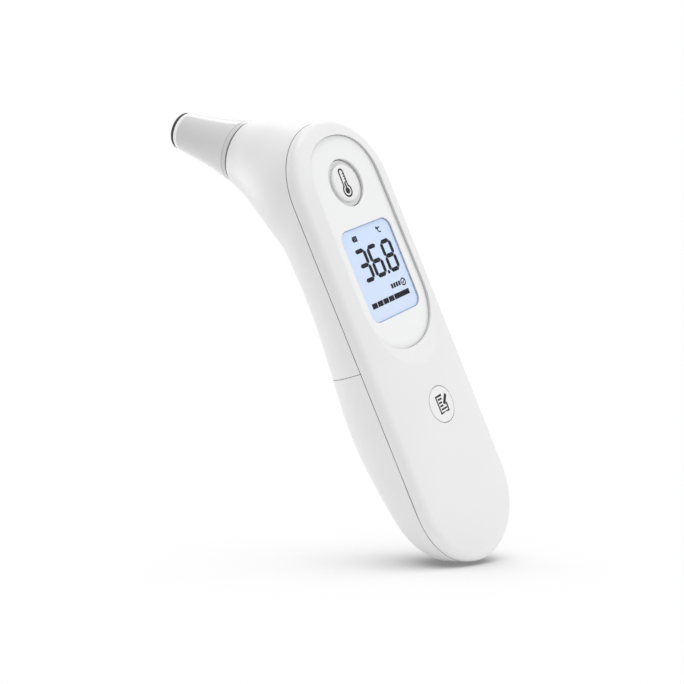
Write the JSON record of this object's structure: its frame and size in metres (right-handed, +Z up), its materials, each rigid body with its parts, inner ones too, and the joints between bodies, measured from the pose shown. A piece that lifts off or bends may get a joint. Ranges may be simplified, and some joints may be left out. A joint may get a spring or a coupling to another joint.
{
  "type": "digital ear thermometer",
  "caption": "Hand-held infrared ear thermometer: slot-shaped handle with a recessed display panel, press buttons, a sliding battery cover and an angled ear probe.",
  "frame": {"origin": "foot of the handle, on the parting plane between the front and back covers and on the symmetry plane", "axes": "+Z up the handle, -Y out of the display, the ear probe points to +Y and up"},
  "size_m": [0.0372, 0.0522, 0.1379],
  "materials": {
    "white_shell": "satin",
    "panel_gloss": "gloss",
    "clear_window": "polished",
    "lcd": "backlit display face",
    "button_white": "satin",
    "probe_grey": "gloss",
    "probe_tip": "gloss",
    "chrome_tube": "polished",
    "heat_block": "turned",
    "seal_rubber": "matte",
    "board": "solder mask",
    "chip": "moulded",
    "crystal_can": "satin",
    "plunger": "satin",
    "connector": "satin",
    "flex": "polyimide film",
    "led": "gloss",
    "cell_wrap": "shrink sleeve",
    "contact_metal": "nickel plated",
    "screw_steel": "zinc plated"
  },
  "bodies": {
    "housing": {"back_cover": "white_shell", "backlight_leds": "led", "battery_1": "cell_wrap", "battery_2": "cell_wrap", "battery_tray": "white_shell", "board_screws": "screw_steel", "buzzer": "chip", "clock_crystal": "crystal_can", "controller_chip": "chip", "cover_screws": "screw_steel", "display_panel": "panel_gloss", "display_window": "clear_window", "flex_connector": "connector", "front_cover": "white_shell", "key_board": "board", "lcd_frame": "white_shell", "lcd_glass": "lcd", "light_guide": "clear_window", "link_contact": "contact_metal", "main_board": "board", "measure_switch": "chip", "memory_chip": "chip", "memory_switch": "chip", "minus_contact": "contact_metal", "plus_contact": "contact_metal", "probe_base_ring": "seal_rubber", "probe_cone": "probe_grey", "probe_lens_frame": "probe_tip", "probe_seal": "seal_rubber", "probe_tip_ring": "seal_rubber", "probe_window": "probe_tip", "sensor_can": "chrome_tube", "sensor_flex": "flex", "sensor_holder": "heat_block", "sensor_leads": "chrome_tube", "tray_screws": "screw_steel", "waveguide": "chrome_tube", "zebra_strip": "seal_rubber"},
    "battery_cover": {"battery_cover": "white_shell"},
    "measure_button": {"measure_button": "button_white", "measure_plunger": "plunger"},
    "memory_button": {"memory_button": "button_white", "memory_plunger": "plunger"}
  },
  "joints": [
    {"name": "battery_cover_slide", "type": "slide", "parent": "housing", "child": "battery_cover", "axis": [0, 0, -1], "range_m": [0, 0.06]},
    {"name": "measure_press", "type": "slide", "parent": "housing", "child": "measure_button", "axis": [0, 1, 0], "range_m": [0, 0.0005], "stiffness_N_per_m": 2000},
    {"name": "memory_press", "type": "slide", "parent": "housing", "child": "memory_button", "axis": [0, 1, 0], "range_m": [0, 0.0004], "stiffness_N_per_m": 2000}
  ]
}
